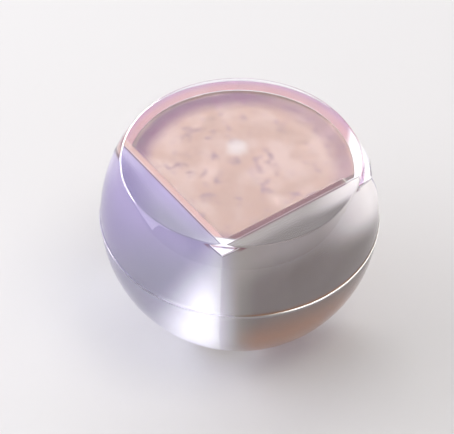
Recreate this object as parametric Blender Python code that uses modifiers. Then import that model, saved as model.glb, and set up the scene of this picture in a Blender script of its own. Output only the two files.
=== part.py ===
"""Clear ball corner protector for furniture, in metres, +Z up, as fitted on a table.

One soft clear moulding, a ball with a flat top and a square notch for the table's
corner, and the clear adhesive pad that holds it down. The origin is on the ball's axis
in the plane where the pad meets the table top. +X and +Y run along the two table edges.
"""
import math

import bmesh
import bpy

# Driving sizes of the moulding
BALL_RADIUS = 0.0165
TOP_HEIGHT = 0.0088            # flat top above the ball's centre
TOP_EDGE_RADIUS = 0.0003       # rounding where the flat top meets the ball
PLATE_THICKNESS = 0.0025       # between the flat top and the notch's ceiling
WALL_OFFSET = 0.0091           # each upright wall from the ball's axis
NOTCH_EDGE_RADIUS = 0.00015    # rounding of the notch's inner edges
PARTING_WIDTH = 0.0003         # bead left by the mould at the ball's widest line
PARTING_HEIGHT = 0.0001

# Driving sizes of the adhesive pad
PAD_THICKNESS = 0.0006
PAD_WALL_MARGIN = 0.0008       # pad's straight sides from the notch's walls
PAD_RIM_MARGIN = 0.0018        # pad's round side from the plate's outer rim
PAD_CORNER_RADIUS = 0.0011
SEAT_CLEARANCE = 0.0003        # between the pad and the ceiling it is stuck to

# Mesh steps
TURN_STEPS = 100               # the notch's corner then falls between two steps
PROFILE_STEP_ANGLE = math.radians(5)
EDGE_STEPS = 4
PAD_ARC_STEPS = 24
MERGE_DISTANCE = 0.00001
SMOOTH_ANGLE = math.radians(30)

# Heights that follow from them, with the pad's lower face at zero
CEILING_Z = PAD_THICKNESS + SEAT_CLEARANCE
TOP_Z = CEILING_Z + PLATE_THICKNESS
BALL_Z = TOP_Z - TOP_HEIGHT

# Colours and surface values
BODY_COLOUR = (0.80, 0.79, 0.88, 0.45)
BODY_ROUGHNESS = 0.04
PAD_COLOUR = (0.90, 0.82, 0.80, 0.60)
PAD_ROUGHNESS = 0.45
CLEAR_VINYL_IOR = 1.53
ACRYLIC_GEL_IOR = 1.47


def clear_scene():
    """Remove every object of the scene that the file opened with."""
    for old in list(bpy.data.objects):
        bpy.data.objects.remove(old, do_unlink=True)


def new_collection(name):
    """Link a new collection to the scene."""
    collection = bpy.data.collections.new(name)
    bpy.context.scene.collection.children.link(collection)
    return collection


def new_object(name, mesh, collection):
    """Put a mesh in the scene as a named object."""
    obj = bpy.data.objects.new(name, mesh)
    collection.objects.link(obj)
    return obj


def apply_modifiers(obj):
    """Keep what the object's modifiers make as its own mesh."""
    graph = bpy.context.evaluated_depsgraph_get()
    mesh = bpy.data.meshes.new_from_object(obj.evaluated_get(graph))
    obj.modifiers.clear()
    obj.data = mesh


def clear_material(name, colour, roughness, ior):
    """A see-through plastic: its colour, how far it lets light by, and its gloss."""
    material = bpy.data.materials.new(name)
    material.use_nodes = True
    shader = material.node_tree.nodes["Principled BSDF"]
    shader.inputs["Base Color"].default_value = (*colour[:3], 1.0)
    shader.inputs["Alpha"].default_value = colour[3]
    shader.inputs["Roughness"].default_value = roughness
    shader.inputs["Metallic"].default_value = 0.0
    shader.inputs["IOR"].default_value = ior
    material.diffuse_color = colour
    return material


def arc_points(centre, radius, start, end, steps):
    """Points of an arc in a plane, both ends included."""
    points = []
    for step in range(steps + 1):
        angle = start + (end - start) * step / steps
        x = centre[0] + radius * math.cos(angle)
        y = centre[1] + radius * math.sin(angle)
        points.append((x, y))
    return points


def ball_profile():
    """Half outline of the ball, from the axis at the top down its outer side."""
    # The top edge's arc touches the flat top and the inside of the ball's outline
    arc_height = TOP_HEIGHT - TOP_EDGE_RADIUS
    arc_centre = (math.sqrt((BALL_RADIUS - TOP_EDGE_RADIUS) ** 2 - arc_height ** 2), arc_height)
    touch_angle = math.atan2(arc_centre[1], arc_centre[0])
    edge = arc_points(arc_centre, TOP_EDGE_RADIUS, math.pi / 2, touch_angle, EDGE_STEPS)

    # The bead's arc stands on the ball's widest line
    bead_angle = math.asin(PARTING_WIDTH / 2 / BALL_RADIUS)
    bead_rise = BALL_RADIUS + PARTING_HEIGHT - BALL_RADIUS * math.cos(bead_angle)
    bead_radius = ((PARTING_WIDTH / 2) ** 2 + bead_rise ** 2) / (2 * bead_rise)
    bead_turn = math.acos(1 - bead_rise / bead_radius)
    bead_centre = (BALL_RADIUS + PARTING_HEIGHT - bead_radius, 0.0)
    bead = arc_points(bead_centre, bead_radius, bead_turn, -bead_turn, EDGE_STEPS)

    upper_steps = round((touch_angle - bead_angle) / PROFILE_STEP_ANGLE)
    lower_steps = round((math.pi / 2 - bead_angle) / PROFILE_STEP_ANGLE)
    upper = arc_points((0, 0), BALL_RADIUS, touch_angle, bead_angle, upper_steps)
    lower = arc_points((0, 0), BALL_RADIUS, -bead_angle, -math.pi / 2, lower_steps)
    pole = (0.0, -BALL_RADIUS)
    return [(0.0, TOP_HEIGHT)] + edge + upper[1:-1] + bead + lower[1:-1] + [pole]


def turned_ball(collection):
    """The ball with its flat top, turned from its profile about its own axis."""
    mesh = bpy.data.meshes.new("bumper_body")
    bm = bmesh.new()
    points = [bm.verts.new((radius, 0.0, height)) for radius, height in ball_profile()]
    for upper, lower in zip(points, points[1:]):
        bm.edges.new((upper, lower))
    bm.to_mesh(mesh)
    bm.free()
    ball = new_object("bumper_body", mesh, collection)
    ball.location = (0.0, 0.0, BALL_Z)
    turn = ball.modifiers.new("turn", "SCREW")
    turn.axis = "Z"
    turn.angle = math.tau
    turn.steps = TURN_STEPS
    turn.render_steps = TURN_STEPS
    turn.use_merge_vertices = True
    turn.merge_threshold = MERGE_DISTANCE
    return ball


def notch_cutter(collection):
    """The square corner of the table, with the mould's rounding on its edges."""
    reach = 2 * BALL_RADIUS
    low_z = BALL_Z - reach
    mesh = bpy.data.meshes.new("notch_cutter")
    bm = bmesh.new()
    bmesh.ops.create_cube(bm, size=1.0)
    size = (reach + WALL_OFFSET, reach + WALL_OFFSET, CEILING_Z - low_z)
    middle = ((reach - WALL_OFFSET) / 2, (reach - WALL_OFFSET) / 2, (CEILING_Z + low_z) / 2)
    bmesh.ops.scale(bm, vec=size, verts=bm.verts)
    bmesh.ops.translate(bm, vec=middle, verts=bm.verts)
    bm.to_mesh(mesh)
    bm.free()
    cutter = new_object("notch_cutter", mesh, collection)
    cutter.hide_render = True
    cutter.display_type = "WIRE"
    rounding = cutter.modifiers.new("rounding", "BEVEL")
    rounding.limit_method = "ANGLE"
    rounding.angle_limit = SMOOTH_ANGLE
    rounding.width = NOTCH_EDGE_RADIUS
    rounding.segments = EDGE_STEPS
    return cutter


def bumper_body(parts, cutters):
    """The moulding: the turned ball less the table's corner."""
    body = turned_ball(parts)
    notch = body.modifiers.new("notch", "BOOLEAN")
    notch.operation = "DIFFERENCE"
    notch.solver = "EXACT"
    notch.object = notch_cutter(cutters)
    apply_modifiers(body)
    body.data.shade_smooth()
    body.data.set_sharp_from_angle(angle=SMOOTH_ANGLE)
    body.data.materials.append(
        clear_material("clear_soft_vinyl", BODY_COLOUR, BODY_ROUGHNESS, CLEAR_VINYL_IOR))
    return body


def pad_outline():
    """The pad seen from above: two straight sides, a round side, rounded corners."""
    side = -WALL_OFFSET + PAD_WALL_MARGIN
    rim_radius = math.sqrt(BALL_RADIUS ** 2 - (CEILING_Z - BALL_Z) ** 2)
    round_side = rim_radius - PAD_RIM_MARGIN
    corner = PAD_CORNER_RADIUS

    # Each corner's arc touches a straight side and the inside of the round side
    far = math.sqrt((round_side - corner) ** 2 - (side + corner) ** 2)
    far_angle = math.atan2(side + corner, far)
    inner = arc_points((side + corner, side + corner), corner, math.pi, 1.5 * math.pi, EDGE_STEPS)
    right = arc_points((far, side + corner), corner, -math.pi / 2, far_angle, EDGE_STEPS)
    start_angle = far_angle
    end_angle = math.pi / 2 - far_angle
    round_arc = arc_points((0, 0), round_side, start_angle, end_angle, PAD_ARC_STEPS)
    left = arc_points((side + corner, far), corner, end_angle, math.pi, EDGE_STEPS)
    return inner + right + round_arc[1:-1] + left


def adhesive_pad(parts):
    """The clear double-sided pad between the plate's underside and the table top."""
    curve = bpy.data.curves.new("adhesive_pad", "CURVE")
    curve.dimensions = "2D"
    curve.fill_mode = "BOTH"
    curve.extrude = PAD_THICKNESS / 2
    outline = pad_outline()
    spline = curve.splines.new("POLY")
    spline.points.add(len(outline) - 1)
    for point, (x, y) in zip(spline.points, outline):
        point.co = (x, y, 0.0, 1.0)
    spline.use_cyclic_u = True
    pad = new_object("adhesive_pad", curve, parts)
    pad.location = (0.0, 0.0, PAD_THICKNESS / 2)
    curve.materials.append(
        clear_material("clear_acrylic_gel", PAD_COLOUR, PAD_ROUGHNESS, ACRYLIC_GEL_IOR))
    return pad


def main():
    """Build the protector."""
    clear_scene()
    parts = new_collection("corner_protector")
    cutters = new_collection("cutters")
    bumper_body(parts, cutters)
    adhesive_pad(parts)


main()
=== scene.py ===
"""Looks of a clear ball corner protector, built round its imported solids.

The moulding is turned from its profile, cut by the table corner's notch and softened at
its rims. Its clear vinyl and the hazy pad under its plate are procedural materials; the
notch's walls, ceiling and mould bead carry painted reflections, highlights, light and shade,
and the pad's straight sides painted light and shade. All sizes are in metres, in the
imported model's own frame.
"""
import logging
import math
from dataclasses import dataclass, field
from enum import Enum

import bmesh
import bpy
from mathutils import Matrix, Vector


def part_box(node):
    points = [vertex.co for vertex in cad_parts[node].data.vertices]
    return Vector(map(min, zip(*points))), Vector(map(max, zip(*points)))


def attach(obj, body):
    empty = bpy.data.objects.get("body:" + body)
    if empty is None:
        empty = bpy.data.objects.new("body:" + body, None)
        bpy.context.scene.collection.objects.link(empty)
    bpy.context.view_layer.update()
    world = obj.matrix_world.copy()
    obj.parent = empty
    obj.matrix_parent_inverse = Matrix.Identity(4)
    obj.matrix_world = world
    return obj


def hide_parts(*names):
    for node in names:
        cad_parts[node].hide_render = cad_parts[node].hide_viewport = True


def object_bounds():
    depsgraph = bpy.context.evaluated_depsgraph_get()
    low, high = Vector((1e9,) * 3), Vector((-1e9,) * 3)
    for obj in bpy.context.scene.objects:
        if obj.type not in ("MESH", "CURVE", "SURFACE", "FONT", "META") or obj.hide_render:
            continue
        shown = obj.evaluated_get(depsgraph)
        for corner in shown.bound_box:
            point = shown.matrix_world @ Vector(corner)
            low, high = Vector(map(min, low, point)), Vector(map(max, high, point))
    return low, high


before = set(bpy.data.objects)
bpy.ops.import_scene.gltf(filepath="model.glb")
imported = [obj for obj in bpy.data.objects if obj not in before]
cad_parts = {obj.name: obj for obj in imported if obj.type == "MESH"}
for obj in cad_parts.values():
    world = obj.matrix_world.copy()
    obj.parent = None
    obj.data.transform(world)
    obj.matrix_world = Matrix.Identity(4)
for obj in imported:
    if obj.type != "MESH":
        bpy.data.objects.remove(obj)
CAD_LOW, CAD_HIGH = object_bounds()

LOG = logging.getLogger("corner_protector")
ROOT_BODY = "root"

Colour = tuple[float, float, float, float]
Band = tuple[float, float]

ROUND_PROFILE = 0.5
KEEP_MATERIAL = -1
MERGE_DISTANCE = 0.000002
LEVEL_TOLERANCE = 1e-7
NORMAL_WEIGHT = 50


class Piece(Enum):
    """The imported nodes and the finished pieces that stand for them."""

    MOULDING = ("bumper_body", "clear_moulding", "clear_soft_vinyl")
    PAD = ("adhesive_pad", "gel_pad", "clear_acrylic_gel")

    def __init__(self, node: str, title: str, slot: str) -> None:
        """Keep the node's name, the finished piece's name and its material slot."""
        self.node = node
        self.title = title
        self.slot = slot


class Socket:
    """A shader socket that takes part in Python arithmetic."""

    def __init__(self, tree: "Shader", link: bpy.types.NodeSocket) -> None:
        """Wrap one output socket of a tree."""
        self.tree = tree
        self.link = link

    def _math(self, operation: str, *values: "Socket | float") -> "Socket":
        """Add a Math node.

        Args:
            operation: the node's operation.
            values: its inputs, in order.

        Returns:
            The node's output.
        """
        inputs = dict(enumerate(values))
        return self.tree.node("ShaderNodeMath", {"operation": operation}, inputs)

    def __add__(self, other: "Socket | float") -> "Socket":
        """Sum."""
        return self._math("ADD", self, other)

    def __radd__(self, other: float) -> "Socket":
        """Sum with a number on the left."""
        return self._math("ADD", other, self)

    def __sub__(self, other: "Socket | float") -> "Socket":
        """Difference."""
        return self._math("SUBTRACT", self, other)

    def __rsub__(self, other: float) -> "Socket":
        """Difference with a number on the left."""
        return self._math("SUBTRACT", other, self)

    def __mul__(self, other: "Socket | float") -> "Socket":
        """Product."""
        return self._math("MULTIPLY", self, other)

    def __rmul__(self, other: float) -> "Socket":
        """Product with a number on the left."""
        return self._math("MULTIPLY", other, self)

    def band(self, low: float, high: float) -> "Socket":
        """A smooth step from 0 at low to 1 at high."""
        settings = {"interpolation_type": "SMOOTHSTEP"}
        inputs = {"Value": self, "From Min": low, "From Max": high}
        return self.tree.node("ShaderNodeMapRange", settings, inputs)


class Shader:
    """A material's or the world's node tree, with one way to add any node."""

    def __init__(
        self,
        owner: bpy.types.Material | bpy.types.World,
        coordinates: str = "Object",
        output: str = "ShaderNodeOutputMaterial",
    ) -> None:
        """Empty the owner's tree and start it with its coordinates.

        Args:
            owner: the material or the world.
            coordinates: which coordinates its patterns follow.
            output: type of its output node.
        """
        self.owner = owner
        self.output = output
        owner.use_nodes = True
        self.tree = owner.node_tree
        self.tree.nodes.clear()
        self.place = self.node("ShaderNodeTexCoord", output=coordinates)

    @classmethod
    def material(cls, name: str) -> "Shader":
        """Start a new material's tree."""
        return cls(bpy.data.materials.new(name))

    def node(
        self,
        kind: str,
        settings: dict[str, object] | None = None,
        inputs: dict[str | int, object] | None = None,
        output: str | int = 0,
    ) -> Socket:
        """Add a node.

        Args:
            kind: the node's type.
            settings: its properties, set before its inputs.
            inputs: values or sockets by input name or place.
            output: the output to hand back.

        Returns:
            The chosen output.
        """
        made = self.tree.nodes.new(kind)
        for name, value in (settings or {}).items():
            setattr(made, name, value)
        for name, value in (inputs or {}).items():
            if isinstance(value, Socket):
                self.tree.links.new(value.link, made.inputs[name])
            else:
                made.inputs[name].default_value = value
        return Socket(self, made.outputs[output])

    def vector(self, operation: str, *values: object, output: int = 0) -> Socket:
        """Add a Vector Math node; output 1 is its plain number."""
        inputs = dict(enumerate(values))
        return self.node("ShaderNodeVectorMath", {"operation": operation}, inputs, output)

    def axes(self) -> tuple[Socket, Socket, Socket]:
        """The surface's place along X, Y and Z."""
        return tuple(
            self.node("ShaderNodeSeparateXYZ", {}, {0: self.place}, axis) for axis in range(3))

    def flat(self) -> Socket:
        """The surface's place, brought down to the plane of X and Y."""
        return self.vector("MULTIPLY", self.place, (1.0, 1.0, 0.0))

    def noise(self, size: float, detail: float = 2.0) -> Socket:
        """Cloudy noise.

        Args:
            size: width of its clouds, in metres.
            detail: how many finer layers it has.

        Returns:
            A value about 0.5.
        """
        inputs = {"Vector": self.place, "Scale": 1.0 / size, "Detail": detail}
        return self.node("ShaderNodeTexNoise", {}, inputs)

    def mix(self, factor: Socket | float, one: object, two: object) -> Socket:
        """Blend two colours."""
        inputs = {0: factor, 6: one, 7: two}
        return self.node("ShaderNodeMix", {"data_type": "RGBA"}, inputs, 2)

    def clear(self, **inputs: object) -> Socket:
        """Add a see-through surface, its inputs named with underscores."""
        named = {name.replace("_", " "): value for name, value in inputs.items()}
        named["Transmission Weight"] = 1.0
        return self.node("ShaderNodeBsdfPrincipled", {}, named)

    def matte(self, colour: Socket | Colour, roughness: float) -> Socket:
        """Add a matte surface."""
        return self.node("ShaderNodeBsdfPrincipled", {}, {
            "Base Color": colour,
            "Roughness": roughness,
            "Specular IOR Level": 0.0,
        })

    def finish(
        self, surface: Socket, volume: Socket | None = None,
    ) -> bpy.types.Material | bpy.types.World:
        """Join the surface and the volume to the output.

        Args:
            surface: the surface shader.
            volume: the volume shader, if there is one.

        Returns:
            The finished material or world.
        """
        inputs = {"Surface": surface}
        if volume:
            inputs["Volume"] = volume
        output = self.tree.nodes.new(self.output)
        for name, value in inputs.items():
            self.tree.links.new(value.link, output.inputs[name])
        return self.owner


@dataclass(frozen=True)
class NotchForm:
    """The sizes of the moulding that its material follows."""

    centre: Vector
    radius: float
    ceiling_z: float
    wall_offset: float
    pad_reach: float


class NotchPlace:
    """Where a point of the moulding's surface lies, told by the notch."""

    def __init__(self, shader: Shader, form: NotchForm) -> None:
        """Measure the point's place.

        Args:
            shader: the material's tree.
            form: the moulding's sizes.
        """
        self.x, self.y, z = shader.axes()
        self.depth = z - form.centre.z
        self.below = form.ceiling_z - z
        self.sunk = form.radius - shader.vector(
            "DISTANCE", shader.place, form.centre, output=1)
        self.from_left = self.x + form.wall_offset
        self.from_right = self.y + form.wall_offset
        self.corner = self.from_left + self.from_right
        self.lean = self.x - self.y
        self.axis_reach = shader.vector("LENGTH", shader.flat(), output=1)


class NotchZones:
    """The zones of the moulding that take painted reflections, highlights, light and shade, each
    from 0 to 1.
    """

    inside_band: Band = (0.0002, 0.0006)
    wall_top: Band = (0.00005, 0.0003)
    fold_top: Band = (0.00001, 0.00008)
    fold_foot: Band = (0.0003, 0.0007)
    fold_start: Band = (0.0016, 0.0030)
    ceiling_under: Band = (0.00001, 0.00002)
    ceiling_over: Band = (-0.0002, -0.0001)
    strip_start: Band = (0.0016, 0.0022)
    strip_width: Band = (0.0007, 0.0009)
    open_end: Band = (0.0080, 0.0090)
    ring_overlap: Band = (-0.0004, -0.0002)
    tip_end: Band = (0.0015, 0.0021)
    bead_foot: Band = (-0.00006, -0.00003)
    bead_dull_end: Band = (0.001, 0.006)
    seam_start: Band = (0.005, 0.014)

    def __init__(self, place: NotchPlace, form: NotchForm) -> None:
        """Draw the zones.

        Args:
            place: where the surface's point lies.
            form: the moulding's sizes.
        """
        inside = place.sunk.band(*self.inside_band)
        closed = 1 - place.x.band(*self.open_end)
        self.walls = inside * place.below.band(*self.wall_top)
        # fold: the top of the walls just under the ceiling, away from the corner and the open end,
        # where painted shade goes
        fold = inside * place.below.band(*self.fold_top)
        fold = fold * (1 - place.below.band(*self.fold_foot))
        self.fold = fold * place.corner.band(*self.fold_start) * closed

        ceiling = inside * (1 - place.below.band(*self.ceiling_under))
        ceiling = ceiling * place.below.band(*self.ceiling_over)
        strips = ceiling * place.corner.band(*self.strip_start)
        # left strip: the ceiling along the left wall, where painted light goes
        self.left_strip = strips * (1 - place.from_left.band(*self.strip_width))
        # right strip: the ceiling along the right wall, where painted shade goes
        self.right_strip = strips * closed * (1 - place.from_right.band(*self.strip_width))
        # tip: the ceiling's corner, which takes a painted white reflection
        self.tip = ceiling * (1 - place.corner.band(*self.tip_end))
        start, end = (form.pad_reach + overlap for overlap in self.ring_overlap)
        ring = ceiling * place.axis_reach.band(start, end)
        self.ring = ring * (1 - self.left_strip) * (1 - self.right_strip)

        bead = 1 - place.sunk.band(*self.bead_foot)
        # seam: the bead towards the right, where a painted highlight goes
        self.seam = bead * place.lean.band(*self.seam_start)
        self.dull_bead = bead * (1 - place.lean.band(*self.bead_dull_end))


@dataclass(frozen=True)
class LeftWall:
    """Painted reflections of the surroundings on the notch's left wall: slate, lavender above,
    white by the corner.
    """

    # painted reflections of the surroundings, not the vinyl's own colour
    slate: Colour = (0.205, 0.205, 0.22, 1.0)
    lavender: Colour = (0.28, 0.245, 0.355, 1.0)
    sky: Colour = (0.44, 0.40, 0.50, 1.0)
    deep: Colour = (0.18, 0.15, 0.26, 1.0)
    reflected_white: Colour = (0.92, 0.97, 0.84, 1.0)
    lavender_reflection_lean: float = 0.6
    lavender_reflection_band: Band = (-0.003, 0.007)
    sky_far: Band = (0.005, 0.011)
    sky_high: Band = (0.0005, 0.0045)
    deep_far: Band = (0.002, 0.010)
    deep_low: Band = (-0.003, 0.004)
    white_reflection_lean: float = 2.1
    white_reflection_band: Band = (0.0015, 0.014)
    white_reflection_high: Band = (-0.003, 0.005)
    white_reflection_loss: float = 0.5

    def tone(self, shader: Shader, place: NotchPlace) -> Socket:
        """Colour of the wall, all painted reflection: lavender upwards, a lighter sky tone high and
        far, a deeper lavender low and far, white by the corner.
        """
        # painted reflection: slate turning lavender upwards and further along the wall
        lavender_reflection = (place.depth + self.lavender_reflection_lean * place.y).band(*self.lavender_reflection_band)
        tone = shader.mix(lavender_reflection, self.slate, self.lavender)
        # painted reflection: a lighter sky tone high up at the far end
        sky = place.y.band(*self.sky_far) * place.depth.band(*self.sky_high)
        tone = shader.mix(sky, tone, self.sky)
        # painted reflection: a deeper lavender low down at the far end
        deep = place.y.band(*self.deep_far) * (1 - place.depth.band(*self.deep_low))
        tone = shader.mix(deep, tone, self.deep)
        # painted reflection: white by the corner, weaker higher up
        white_reflection = 1 - (place.depth + self.white_reflection_lean * place.corner).band(*self.white_reflection_band)
        white_reflection = white_reflection * (1 - self.white_reflection_loss * place.depth.band(*self.white_reflection_high))
        return shader.mix(white_reflection, tone, self.reflected_white)


@dataclass(frozen=True)
class RightWall:
    """Painted shade and painted reflections on the notch's right wall: dim, cream far up, brown
    below, grey by the corner.
    """

    # painted shade and painted reflections, not the vinyl's own colour
    dim: Colour = (0.125, 0.115, 0.075, 1.0)
    cream: Colour = (0.74, 0.76, 0.54, 1.0)
    brown: Colour = (0.215, 0.105, 0.035, 1.0)
    grey: Colour = (0.26, 0.27, 0.18, 1.0)
    high_shine: float = 0.2
    high_band: Band = (0.0, 0.004)
    far_shine: float = 0.8
    far_band: Band = (0.002, 0.010)
    far_high_band: Band = (-0.001, 0.0025)
    brown_end: Band = (-0.0075, -0.0035)
    grey_end: Band = (0.0005, 0.005)

    def tone(self, shader: Shader, place: NotchPlace) -> Socket:
        """Colour of the wall: painted shade, with a painted cream reflection high and far up, brown
        towards the bottom and grey by the corner.
        """
        # painted highlight: cream high up and far from the corner
        far = place.x.band(*self.far_band) * place.depth.band(*self.far_high_band)
        shine = self.high_shine * place.depth.band(*self.high_band) + self.far_shine * far
        tone = shader.mix(shine, self.dim, self.cream)
        # painted reflection: brown towards the bottom
        tone = shader.mix(1 - place.depth.band(*self.brown_end), tone, self.brown)
        # painted grey by the corner
        return shader.mix(1 - place.corner.band(*self.grey_end), tone, self.grey)


@dataclass(frozen=True)
class ClearVinyl:
    """Clear soft vinyl: glossy outside, lavender in its depth, and in the notch a matte layer of
    painted reflections, highlights, light and shade.
    """

    ior: float = 1.53
    gloss: float = 0.02
    scuffed: float = 0.07
    wall_gloss: float = 0.15
    bead_dullness: float = 0.35
    scuff_size: float = 0.006
    scuff_detail: float = 4.0
    scuff_band: Band = (0.58, 0.75)
    tint: Colour = (0.985, 0.98, 0.99, 1.0)
    swell_size: float = 0.009
    swell_detail: float = 1.0
    swell_height: float = 0.00002
    depth_colour: Colour = (0.74, 0.69, 0.90, 1.0)
    depth_density: float = 35.0

    left_wall: LeftWall = LeftWall()
    right_wall: RightWall = RightWall()
    side_band: Band = (-0.003, 0.003)
    # painted shade in the fold and along the right strip
    shade_tone: Colour = (0.13, 0.055, 0.055, 1.0)
    # painted highlight on the bead
    seam_highlight: Colour = (0.95, 0.93, 0.88, 1.0)
    ring_tone: Colour = (0.40, 0.17, 0.17, 1.0)
    rim_tone: Colour = (0.28, 0.11, 0.25, 1.0)
    # painted light on the left strip
    lit_strip_tone: Colour = (0.43, 0.27, 0.21, 1.0)
    rim_band: Band = (0.0136, 0.0151)
    # painted reflection: where the ring turns white at its right end
    white_end: Band = (0.0160, 0.0175)
    satin_roughness: float = 0.6
    satin_share: float = 0.93
    fold_share: float = 0.95
    seam_share: float = 0.65
    ring_share: float = 0.75
    strip_share: float = 0.85
    tip_share: float = 0.7
    least_patch: float = 0.86
    patch_range: float = 0.28
    patch_size: float = 0.005
    patch_detail: float = 3.0

    def _clear(self, shader: Shader, zones: NotchZones) -> Socket:
        """The clear plastic's own surface."""
        scuffs = shader.noise(self.scuff_size, self.scuff_detail).band(*self.scuff_band)
        roughness = self.gloss + scuffs * (self.scuffed - self.gloss)
        roughness = roughness + zones.walls * (self.wall_gloss - self.gloss)
        roughness = roughness + zones.dull_bead * self.bead_dullness
        bump = shader.node("ShaderNodeBump", {}, {
            "Strength": 1.0,
            "Distance": self.swell_height,
            "Height": shader.noise(self.swell_size, self.swell_detail),
        })
        return shader.clear(Base_Color=self.tint, Roughness=roughness, IOR=self.ior, Normal=bump)

    def _painted_tone(self, shader: Shader, place: NotchPlace, zones: NotchZones) -> Socket:
        """Colour of the painted zones: painted reflections on the walls, tip and ring end, a
        painted highlight on the bead, painted light and shade along the ceiling's edges.
        """
        side = (-1 * place.lean).band(*self.side_band)
        tone = shader.mix(
            side, self.right_wall.tone(shader, place), self.left_wall.tone(shader, place))
        # painted highlight on the bead's right side
        tone = shader.mix(zones.seam, tone, self.seam_highlight)
        # painted reflection: white at the ceiling's corner
        tone = shader.mix(zones.tip, tone, self.left_wall.reflected_white)
        ring = shader.mix(place.axis_reach.band(*self.rim_band), self.ring_tone, self.rim_tone)
        # painted reflection: white at the ring's right end
        ring = shader.mix(place.lean.band(*self.white_end), ring, self.left_wall.reflected_white)
        tone = shader.mix(zones.ring, tone, ring)
        # painted light on the left strip
        tone = shader.mix(zones.left_strip, tone, self.lit_strip_tone)
        # painted shade in the fold and along the right strip
        return shader.mix(zones.fold + zones.right_strip, tone, self.shade_tone)

    def _share(self, shader: Shader, zones: NotchZones) -> Socket:
        """How far the painted matte layer hides the clear plastic."""
        patches = self.least_patch + self.patch_range * shader.noise(
            self.patch_size, self.patch_detail)
        share = zones.walls * patches * self.satin_share
        share = share * (1 - zones.fold) + zones.fold * self.fold_share
        share = share + zones.seam * self.seam_share + zones.ring * patches * self.ring_share
        share = share + zones.left_strip * self.strip_share
        share = share + zones.right_strip * self.fold_share
        return share + zones.tip * self.tip_share

    def material(self, form: NotchForm) -> bpy.types.Material:
        """Build the material.

        Args:
            form: the moulding's sizes.

        Returns:
            The material, with its tint held in the volume.
        """
        shader = Shader.material("clear_soft_vinyl")
        place = NotchPlace(shader, form)
        zones = NotchZones(place, form)
        clear = self._clear(shader, zones)
        # the matte layer carries the painted reflections, highlights, light and shade
        painted_satin = shader.matte(self._painted_tone(shader, place, zones), self.satin_roughness)
        share = self._share(shader, zones)
        surface = shader.node("ShaderNodeMixShader", {}, {0: share, 1: clear, 2: painted_satin})
        volume = shader.node("ShaderNodeVolumeAbsorption", {}, {
            "Color": self.depth_colour,
            "Density": self.depth_density,
        })
        return shader.finish(surface, volume)


@dataclass(frozen=True)
class HazyGel:
    """Clear acrylic gel, milky where it has taken up air, mauve along its round side, with painted
    light and shade on its two straight sides.
    """

    ior: float = 1.47
    clear_roughness: float = 0.3
    hazy_roughness: float = 0.6
    milky_roughness: float = 0.6
    haze_share: float = 0.95
    least_haze: float = 0.9
    haze_range: float = 0.2
    haze_size: float = 0.0035
    haze_detail: float = 3.0
    haze_band: Band = (0.4, 0.65)
    warm: Colour = (0.55, 0.33, 0.235, 1.0)
    pale: Colour = (0.62, 0.43, 0.35, 1.0)
    speck: Colour = (0.34, 0.16, 0.20, 1.0)
    speck_size: float = 0.0013
    speck_detail: float = 1.0
    speck_band: Band = (0.52, 0.82)
    speck_share: float = 0.8
    mauve: Colour = (0.20, 0.03, 0.12, 1.0)
    mauve_start: Band = (-0.0036, -0.0013)
    mauve_end: Band = (-0.0009, -0.0002)
    mauve_end_loss: float = 0.75
    mauve_right: Band = (-0.002, 0.006)
    mauve_right_loss: float = 0.45
    waver_size: float = 0.003
    waver_reach: float = 0.0008
    spot: Colour = (0.72, 0.65, 0.60, 1.0)
    spot_place: tuple[float, float, float] = (0.0017, 0.0031, 0.0)
    spot_band: Band = (0.0006, 0.0019)
    spot_waver: float = 2.0
    spot_share: float = 0.85
    # painted shade on the straight side along Y, painted light on the side along X
    shaded_side_edge: Colour = (0.26, 0.11, 0.14, 1.0)
    lit_side_edge: Colour = (0.54, 0.33, 0.26, 1.0)
    edge_band: Band = (0.00004, 0.00014)

    def _colour(
        self, shader: Shader, haze: Socket, round_side: float, straight_side: float,
    ) -> Socket:
        """Colour of the gel.

        Args:
            shader: the material's tree.
            haze: where the gel is cloudy.
            round_side: radius of the pad's round side.
            straight_side: where both straight sides lie, along X and Y.

        Returns:
            The colour.
        """
        x, y, _ = shader.axes()
        waver = (shader.noise(self.waver_size) - 0.5) * self.waver_reach
        flat = shader.flat()
        from_rim = shader.vector("LENGTH", flat, output=1) + waver - round_side
        colour = shader.mix(haze, self.warm, self.pale)
        specks = shader.noise(self.speck_size, self.speck_detail).band(*self.speck_band)
        colour = shader.mix(specks * self.speck_share, colour, self.speck)

        rim = from_rim.band(*self.mauve_start)
        rim = rim * (1 - self.mauve_right_loss * (x - y).band(*self.mauve_right))
        rim = rim * (1 - self.mauve_end_loss * from_rim.band(*self.mauve_end))
        colour = shader.mix(rim, colour, self.mauve)

        from_spot = shader.vector("DISTANCE", flat, self.spot_place, output=1)
        spot = 1 - (from_spot + self.spot_waver * waver).band(*self.spot_band)
        colour = shader.mix(spot * self.spot_share, colour, self.spot)
        # painted light on the lit straight side, painted shade on the shaded one
        for along, edge in ((x, self.lit_side_edge), (y, self.shaded_side_edge)):
            on_side = 1 - (along - straight_side).band(*self.edge_band)
            colour = shader.mix(on_side, colour, edge)
        return colour

    def material(self, round_side: float, straight_side: float) -> bpy.types.Material:
        """Build the material.

        Args:
            round_side: radius of the pad's round side.
            straight_side: where both straight sides lie, along X and Y.

        Returns:
            The material.
        """
        shader = Shader.material("clear_acrylic_gel")
        haze = shader.noise(self.haze_size, self.haze_detail).band(*self.haze_band)
        colour = self._colour(shader, haze, round_side, straight_side)
        roughness = self.clear_roughness + haze * (self.hazy_roughness - self.clear_roughness)
        clear = shader.clear(Base_Color=colour, Roughness=roughness, IOR=self.ior)
        milky = shader.matte(colour, self.milky_roughness)
        share = self.haze_share * (self.least_haze + self.haze_range * haze)
        surface = shader.node("ShaderNodeMixShader", {}, {0: share, 1: clear, 2: milky})
        return shader.finish(surface)


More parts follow.
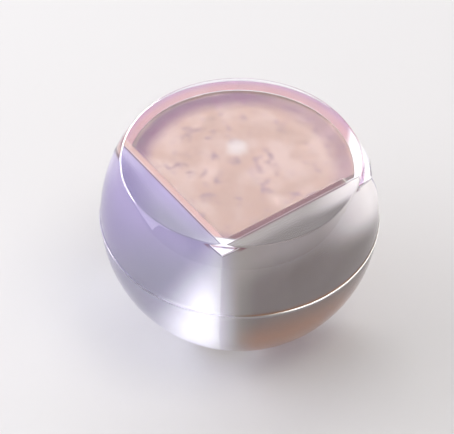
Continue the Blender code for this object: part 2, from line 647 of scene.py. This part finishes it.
@dataclass(frozen=True)
class StudioPaint:
    """The floor's plain pale matte paint."""

    colour: Colour = (0.78, 0.78, 0.78, 1.0)
    roughness: float = 0.9

    def material(self) -> bpy.types.Material:
        """Build the material."""
        shader = Shader.material("studio_floor")
        return shader.finish(shader.matte(self.colour, self.roughness))


def arc(centre: Vector, radius: float, start: float, end: float, steps: int) -> list[Vector]:
    """Points of an upright arc in the plane of X and Z.

    Args:
        centre: the arc's centre.
        radius: its radius.
        start: the angle it starts at, from +X towards +Z.
        end: the angle it ends at.
        steps: how many chords it has.

    Returns:
        The points, both ends included.
    """
    points = []
    for step in range(steps + 1):
        angle = start + (end - start) * step / steps
        points.append(centre + radius * Vector((math.cos(angle), 0.0, math.sin(angle))))
    return points


def place_piece(mesh: bpy.types.Mesh, piece: Piece, finish: bpy.types.Material) -> bpy.types.Object:
    """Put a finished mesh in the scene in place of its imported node.

    Args:
        mesh: the mesh, already in its place.
        piece: which piece it is.
        finish: its material.

    Returns:
        The new object.
    """
    obj = bpy.data.objects.new(piece.title, mesh)
    bpy.context.scene.collection.objects.link(obj)
    mesh.materials.clear()
    mesh.materials.append(finish)
    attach(obj, ROOT_BODY)
    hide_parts(piece.node)
    return obj


def add_object(name: str, bm: bmesh.types.BMesh) -> bpy.types.Object:
    """Put a built mesh in the scene and free its builder."""
    mesh = bpy.data.meshes.new(name)
    bm.to_mesh(mesh)
    bm.free()
    obj = bpy.data.objects.new(name, mesh)
    bpy.context.scene.collection.objects.link(obj)
    return obj


def evaluated_copy(obj: bpy.types.Object) -> bpy.types.Mesh:
    """The mesh that an object's modifiers make."""
    graph = bpy.context.evaluated_depsgraph_get()
    return bpy.data.meshes.new_from_object(obj.evaluated_get(graph))


def round_edges(bm: bmesh.types.BMesh, edges: list, radius: float, steps: int) -> None:
    """Round some edges of a mesh."""
    bmesh.ops.bevel(
        bm, geom=edges, offset=radius, segments=steps, profile=ROUND_PROFILE,
        affect="EDGES", material=KEEP_MATERIAL, clamp_overlap=False)


def weight_normals(obj: bpy.types.Object) -> None:
    """Let the large faces set the shading next to the small ones."""
    weighting = obj.modifiers.new("weighting", "WEIGHTED_NORMAL")
    weighting.mode = "FACE_AREA"
    weighting.weight = NORMAL_WEIGHT


@dataclass
class Moulding:
    """The clear ball with its flat top, mould bead and square notch."""

    radius: float = 0.0165
    top_height: float = 0.0088
    top_edge_radius: float = 0.0003
    plate_thickness: float = 0.0025
    wall_offset: float = 0.0091
    notch_edge_radius: float = 0.00015
    rim_radius: float = 0.00012
    pad_rim_margin: float = 0.0018
    bead_width: float = 0.0003
    bead_height: float = 0.0001
    turn_steps: int = 180
    profile_step: float = math.radians(1.5)
    edge_steps: int = 8
    rim_steps: int = 3
    sliver: float = 0.0002
    slack: float = 0.00005
    finish: ClearVinyl = ClearVinyl()
    top_z: float = field(init=False)
    centre: Vector = field(init=False)

    def __post_init__(self) -> None:
        """Take the moulding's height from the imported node."""
        self.top_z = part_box(Piece.MOULDING.node)[1][2]
        self.centre = Vector((0.0, 0.0, self.top_z - self.top_height))

    @property
    def ceiling_z(self) -> float:
        """Height of the notch's ceiling."""
        return self.top_z - self.plate_thickness

    @property
    def pad_reach(self) -> float:
        """Radius of the pad's round side, about the ball's axis."""
        rim = math.sqrt(self.radius ** 2 - (self.ceiling_z - self.centre.z) ** 2)
        return rim - self.pad_rim_margin

    @property
    def form(self) -> NotchForm:
        """The sizes that the material follows."""
        return NotchForm(
            self.centre, self.radius, self.ceiling_z, self.wall_offset, self.pad_reach)

    def profile(self) -> list[Vector]:
        """Half outline of the ball, from the middle of its flat top down to its pole.

        Returns:
            The outline's points.
        """
        edge_z = self.top_height - self.top_edge_radius
        edge_x = math.sqrt((self.radius - self.top_edge_radius) ** 2 - edge_z ** 2)
        edge_centre = self.centre + Vector((edge_x, 0.0, edge_z))
        touch = math.atan2(edge_z, edge_x)
        edge = arc(edge_centre, self.top_edge_radius, math.pi / 2, touch, self.edge_steps)

        foot = math.asin(self.bead_width / 2 / self.radius)
        rise = self.bead_height + self.radius * (1 - math.cos(foot))
        bead_radius = ((self.bead_width / 2) ** 2 + rise ** 2) / (2 * rise)
        bead_turn = math.acos(1 - rise / bead_radius)
        reach = self.radius + self.bead_height - bead_radius
        bead_centre = self.centre + Vector((reach, 0.0, 0.0))
        bead = arc(bead_centre, bead_radius, bead_turn, -bead_turn, self.edge_steps)

        pole_angle = -math.pi / 2
        upper_steps = round((touch - foot) / self.profile_step)
        lower_steps = round((-foot - pole_angle) / self.profile_step)
        upper = arc(self.centre, self.radius, touch, foot, upper_steps)
        lower = arc(self.centre, self.radius, -foot, pole_angle, lower_steps)
        top = Vector((0.0, 0.0, self.top_z))
        pole = self.centre - Vector((0.0, 0.0, self.radius))
        return [top] + edge + upper[1:-1] + bead + lower[1:-1] + [pole]

    def turned(self) -> bpy.types.Object:
        """Turn the profile about the ball's axis.

        Returns:
            The whole ball, before the notch is cut.
        """
        bm = bmesh.new()
        points = [bm.verts.new(point) for point in self.profile()]
        edges = [bm.edges.new(pair) for pair in zip(points, points[1:])]
        bmesh.ops.spin(
            bm, geom=points + edges, cent=self.centre, axis=(0.0, 0.0, 1.0),
            angle=math.tau, steps=self.turn_steps, use_merge=True)
        bmesh.ops.remove_doubles(bm, verts=bm.verts, dist=MERGE_DISTANCE)
        bmesh.ops.recalc_face_normals(bm, faces=bm.faces)
        return add_object("turned_ball", bm)

    def table_corner(self) -> bpy.types.Object:
        """The square corner that the notch takes, with the mould's rounded edges.

        Returns:
            The cutter.
        """
        reach = 2 * self.radius
        low = Vector((-self.wall_offset, -self.wall_offset, self.centre.z - reach))
        high = Vector((reach, reach, self.ceiling_z))
        bm = bmesh.new()
        bmesh.ops.create_cube(bm, size=1.0)
        bmesh.ops.scale(bm, vec=high - low, verts=bm.verts)
        bmesh.ops.translate(bm, vec=(high + low) / 2, verts=bm.verts)
        round_edges(bm, bm.edges[:], self.notch_edge_radius, self.edge_steps)
        return add_object("table_corner", bm)

    def notched(self) -> bpy.types.Mesh:
        """Cut the notch out of the ball, with crisp rims."""
        ball = self.turned()
        corner = self.table_corner()
        cut = ball.modifiers.new("notch", "BOOLEAN")
        cut.operation = "DIFFERENCE"
        cut.solver = "EXACT"
        cut.object = corner
        mesh = evaluated_copy(ball)
        bpy.data.objects.remove(ball)
        bpy.data.objects.remove(corner)
        return mesh

    def _in_notch(self, face: bmesh.types.BMFace) -> bool:
        """Whether a face belongs to the notch and not to the ball's outside."""
        middle = face.calc_center_median()
        inside = (middle - self.centre).length < self.radius - self.slack
        return inside and middle.z < self.ceiling_z + self.slack

    def _rims(self, bm: bmesh.types.BMesh) -> list[bmesh.types.BMEdge]:
        """Edges between the notch and the ball's outside."""
        rims = []
        for edge in bm.edges:
            sides = [self._in_notch(face) for face in edge.link_faces]
            if len(sides) == 2 and sides[0] != sides[1]:
                rims.append(edge)
        return rims

    def _weld_slivers(self, bm: bmesh.types.BMesh) -> None:
        """Draw the ball's points that lie too close to a rim onto it."""
        on_rim = {vert for edge in self._rims(bm) for vert in edge.verts}
        targets = {}
        for vert in on_rim:
            for edge in vert.link_edges:
                other = edge.other_vert(vert)
                near = edge.calc_length() < self.sliver
                if near and other not in on_rim and not any(map(self._in_notch, other.link_faces)):
                    targets[other] = vert
        bmesh.ops.weld_verts(bm, targetmap=targets)

    def build(self) -> bpy.types.Object:
        """Make the finished moulding.

        Returns:
            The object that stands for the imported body.
        """
        mesh = self.notched()
        bm = bmesh.new()
        bm.from_mesh(mesh)
        self._weld_slivers(bm)
        round_edges(bm, self._rims(bm), self.rim_radius, self.rim_steps)
        bmesh.ops.remove_doubles(bm, verts=bm.verts, dist=MERGE_DISTANCE)
        bm.to_mesh(mesh)
        bm.free()
        mesh.shade_smooth()
        obj = place_piece(mesh, Piece.MOULDING, self.finish.material(self.form))
        weight_normals(obj)
        return obj


@dataclass
class GelPad:
    """The double-sided pad under the plate, a square corner with a round far side."""

    moulding: Moulding
    wall_margin: float = 0.0008
    corner_radius: float = 0.0011
    edge_radius: float = 0.00012
    arc_steps: int = 64
    edge_steps: int = 3
    least_corner_steps: int = 6
    finish: HazyGel = HazyGel()

    @property
    def side(self) -> float:
        """Where both straight sides lie, along X and along Y."""
        return self.wall_margin - self.moulding.wall_offset

    def outline(self) -> list[Vector]:
        """The pad's outline seen from above, at the height of its lower face.

        Returns:
            The outline's points, in order.
        """
        body = self.moulding
        low_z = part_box(Piece.PAD.node)[0][2]
        side = self.side
        round_side = body.pad_reach
        corner = self.corner_radius
        far = math.sqrt((round_side - corner) ** 2 - (side + corner) ** 2)
        lean = math.atan2(side + corner, far)
        quarter = math.pi / 2
        near = side + corner
        arcs = [
            ((near, near), corner, 2 * quarter, 3 * quarter),
            ((far, near), corner, -quarter, lean),
            ((0.0, 0.0), round_side, lean, quarter - lean),
            ((near, far), corner, quarter - lean, 2 * quarter),
        ]
        points = []
        for (x, y), radius, start, end in arcs:
            steps = round(self.arc_steps * radius * (end - start) / round_side)
            steps = max(self.least_corner_steps, steps)
            flat = arc(Vector((x, 0.0, y)), radius, start, end, steps)
            points += [Vector((p.x, p.z, low_z)) for p in flat[:-1]]
        return points

    def build(self) -> bpy.types.Object:
        """Make the finished pad.

        Returns:
            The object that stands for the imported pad.
        """
        low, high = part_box(Piece.PAD.node)
        bm = bmesh.new()
        corners = [bm.verts.new(point) for point in self.outline()]
        face = bm.faces.new(corners)
        grown = bmesh.ops.extrude_face_region(bm, geom=[face])
        lifted = [item for item in grown["geom"] if isinstance(item, bmesh.types.BMVert)]
        bmesh.ops.translate(bm, vec=(0.0, 0.0, high[2] - low[2]), verts=lifted)
        bmesh.ops.recalc_face_normals(bm, faces=bm.faces)
        level = []
        for edge in bm.edges:
            first, second = edge.verts
            if abs(first.co.z - second.co.z) < LEVEL_TOLERANCE:
                level.append(edge)
        round_edges(bm, level, self.edge_radius, self.edge_steps)
        mesh = bpy.data.meshes.new("gel_pad")
        bm.to_mesh(mesh)
        bm.free()
        mesh.shade_smooth()
        finish = self.finish.material(self.moulding.pad_reach, self.side)
        obj = place_piece(mesh, Piece.PAD, finish)
        weight_normals(obj)
        return obj


@dataclass(frozen=True)
class SoftLight:
    """One soft light, aimed at the protector."""

    name: str
    azimuth: float
    elevation: float
    distance: float
    width: float
    height: float
    power: float
    colour: tuple[float, float, float] = (1.0, 1.0, 1.0)
    only_reflected: bool = False
    only_inside: bool = False

    def build(
        self, target: Vector, subject: bpy.types.Object, floor: bpy.types.Object,
    ) -> bpy.types.Object:
        """Hang the light and aim it.

        Args:
            target: the point it is aimed at.
            subject: the clear piece that it can be kept to.
            floor: what still shades it then.

        Returns:
            The light's object.
        """
        data = bpy.data.lights.new(self.name, "AREA")
        data.shape = "RECTANGLE"
        data.size = self.width
        data.size_y = self.height
        data.energy = self.power
        data.color = self.colour
        obj = bpy.data.objects.new(self.name, data)
        bpy.context.scene.collection.objects.link(obj)
        back = direction(self.azimuth, self.elevation)
        obj.location = target + back * self.distance
        obj.rotation_euler = back.to_track_quat("Z", "Y").to_euler()
        obj.visible_camera = False
        if self.only_reflected:
            obj.visible_diffuse = False
            obj.visible_transmission = False
            obj.visible_volume_scatter = False
        if self.only_inside:
            obj.visible_glossy = False
            obj.visible_transmission = False
            lit = bpy.data.collections.new(self.name + "_lit")
            lit.objects.link(subject)
            shading = bpy.data.collections.new(self.name + "_shading")
            shading.objects.link(floor)
            obj.light_linking.receiver_collection = lit
            obj.light_linking.blocker_collection = shading
        return obj


def direction(azimuth: float, elevation: float) -> Vector:
    """Unit vector towards a viewer, from degrees round and above the object."""
    a = math.radians(azimuth)
    e = math.radians(elevation)
    return Vector((math.sin(a) * math.cos(e), -math.cos(a) * math.cos(e), math.sin(e)))


@dataclass
class Studio:
    """A pale floor, soft lights and the camera at the photo's angle."""

    moulding: Moulding
    subject: bpy.types.Object
    floor_size: float = 1.2
    azimuth: float = -37.3
    elevation: float = 45.7
    roll: float = 1.2
    distance_in_radii: float = 15.0
    pixels_per_radius: float = 139.2
    image_width: int = 454
    aim_right: float = -0.09
    aim_up: float = -0.055
    sensor_width: float = 36.0
    window_side: Colour = (0.95, 0.94, 1.0, 1.0)
    window_azimuth: float = -150.0
    window_elevation: float = 20.0
    window_band: Band = (-1.0, 0.9)
    dim_side: Colour = (0.34, 0.31, 0.28, 1.0)
    world_strength: float = 0.55
    bounces: int = 32
    paint: StudioPaint = StudioPaint()

    def lights(self) -> list[SoftLight]:
        """The studio's lights."""
        return [
            SoftLight(
                "window", azimuth=-150.0, elevation=28.0, distance=0.5,
                width=1.0, height=0.5, power=3.6, colour=(0.97, 0.96, 1.0)),
            SoftLight(
                "back_window", azimuth=139.0, elevation=45.7, distance=0.5,
                width=0.28, height=0.28, power=0.5),
            SoftLight(
                "edge_card", azimuth=-169.0, elevation=22.0, distance=0.49,
                width=0.6, height=0.1, power=14.0, only_reflected=True),
            SoftLight(
                "right_fill", azimuth=12.0, elevation=30.0, distance=0.065,
                width=0.03, height=0.03, power=0.05, only_inside=True),
            SoftLight(
                "left_fill", azimuth=-60.0, elevation=25.0, distance=0.065,
                width=0.03, height=0.03, power=0.04, only_inside=True),
            SoftLight(
                "warm_fill", azimuth=40.0, elevation=68.0, distance=0.6,
                width=0.3, height=0.3, power=0.8, colour=(1.0, 0.92, 0.8)),
        ]

    def floor(self) -> bpy.types.Object:
        """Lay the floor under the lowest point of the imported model."""
        bm = bmesh.new()
        half = self.floor_size / 2
        bmesh.ops.create_grid(bm, x_segments=1, y_segments=1, size=half)
        bmesh.ops.translate(bm, vec=(0.0, 0.0, CAD_LOW[2]), verts=bm.verts)
        obj = add_object("studio_floor", bm)
        obj.data.materials.append(self.paint.material())
        return obj

    def camera(self) -> bpy.types.Object:
        """Set the camera at the photo's viewing angle."""
        radius = self.moulding.radius
        back = direction(self.azimuth, self.elevation)
        right = Vector((0.0, 0.0, 1.0)).cross(back).normalized()
        eye = self.moulding.centre + back * self.distance_in_radii * radius
        aim = self.moulding.centre + radius * (right * self.aim_right)
        aim.z += radius * self.aim_up
        data = bpy.data.cameras.new("camera")
        data.sensor_width = self.sensor_width
        focal_pixels = self.pixels_per_radius * self.distance_in_radii
        data.lens = focal_pixels * self.sensor_width / self.image_width
        data.clip_start = radius / 10
        data.clip_end = 100 * radius * self.distance_in_radii
        obj = bpy.data.objects.new("camera", data)
        bpy.context.scene.collection.objects.link(obj)
        look = (eye - aim).to_track_quat("Z", "Y")
        obj.matrix_world = (
            Matrix.Translation(eye) @ look.to_matrix().to_4x4()
            @ Matrix.Rotation(math.radians(self.roll), 4, "Z"))
        bpy.context.scene.camera = obj
        return obj

    def world(self) -> None:
        """Fill the room with soft light, brighter and cooler towards the window."""
        world = bpy.data.worlds.new("studio")
        shader = Shader(world, "Generated", "ShaderNodeOutputWorld")
        window = direction(self.window_azimuth, self.window_elevation)
        towards = shader.vector("DOT_PRODUCT", shader.place, window, output=1)
        colour = shader.mix(towards.band(*self.window_band), self.dim_side, self.window_side)
        light = shader.node("ShaderNodeBackground", {}, {
            "Color": colour,
            "Strength": self.world_strength,
        })
        bpy.context.scene.world = shader.finish(light)

    def build(self) -> None:
        """Set the whole studio up."""
        self.camera()
        self.world()
        floor = self.floor()
        for light in self.lights():
            light.build(self.moulding.centre, self.subject, floor)
        scene = bpy.context.scene
        scene.view_settings.view_transform = "Standard"
        scene.cycles.max_bounces = self.bounces
        scene.cycles.transmission_bounces = self.bounces
        scene.cycles.glossy_bounces = self.bounces


def main() -> None:
    """Build the protector and its studio."""
    logging.basicConfig(level=logging.INFO, format="%(name)s: %(message)s")
    moulding = Moulding()
    body = moulding.build()
    pad = GelPad(moulding).build()
    for piece in (body, pad):
        LOG.info("%s: %d faces", piece.name, len(piece.data.polygons))
    Studio(moulding, body).build()


if __name__ == "__main__":
    main()
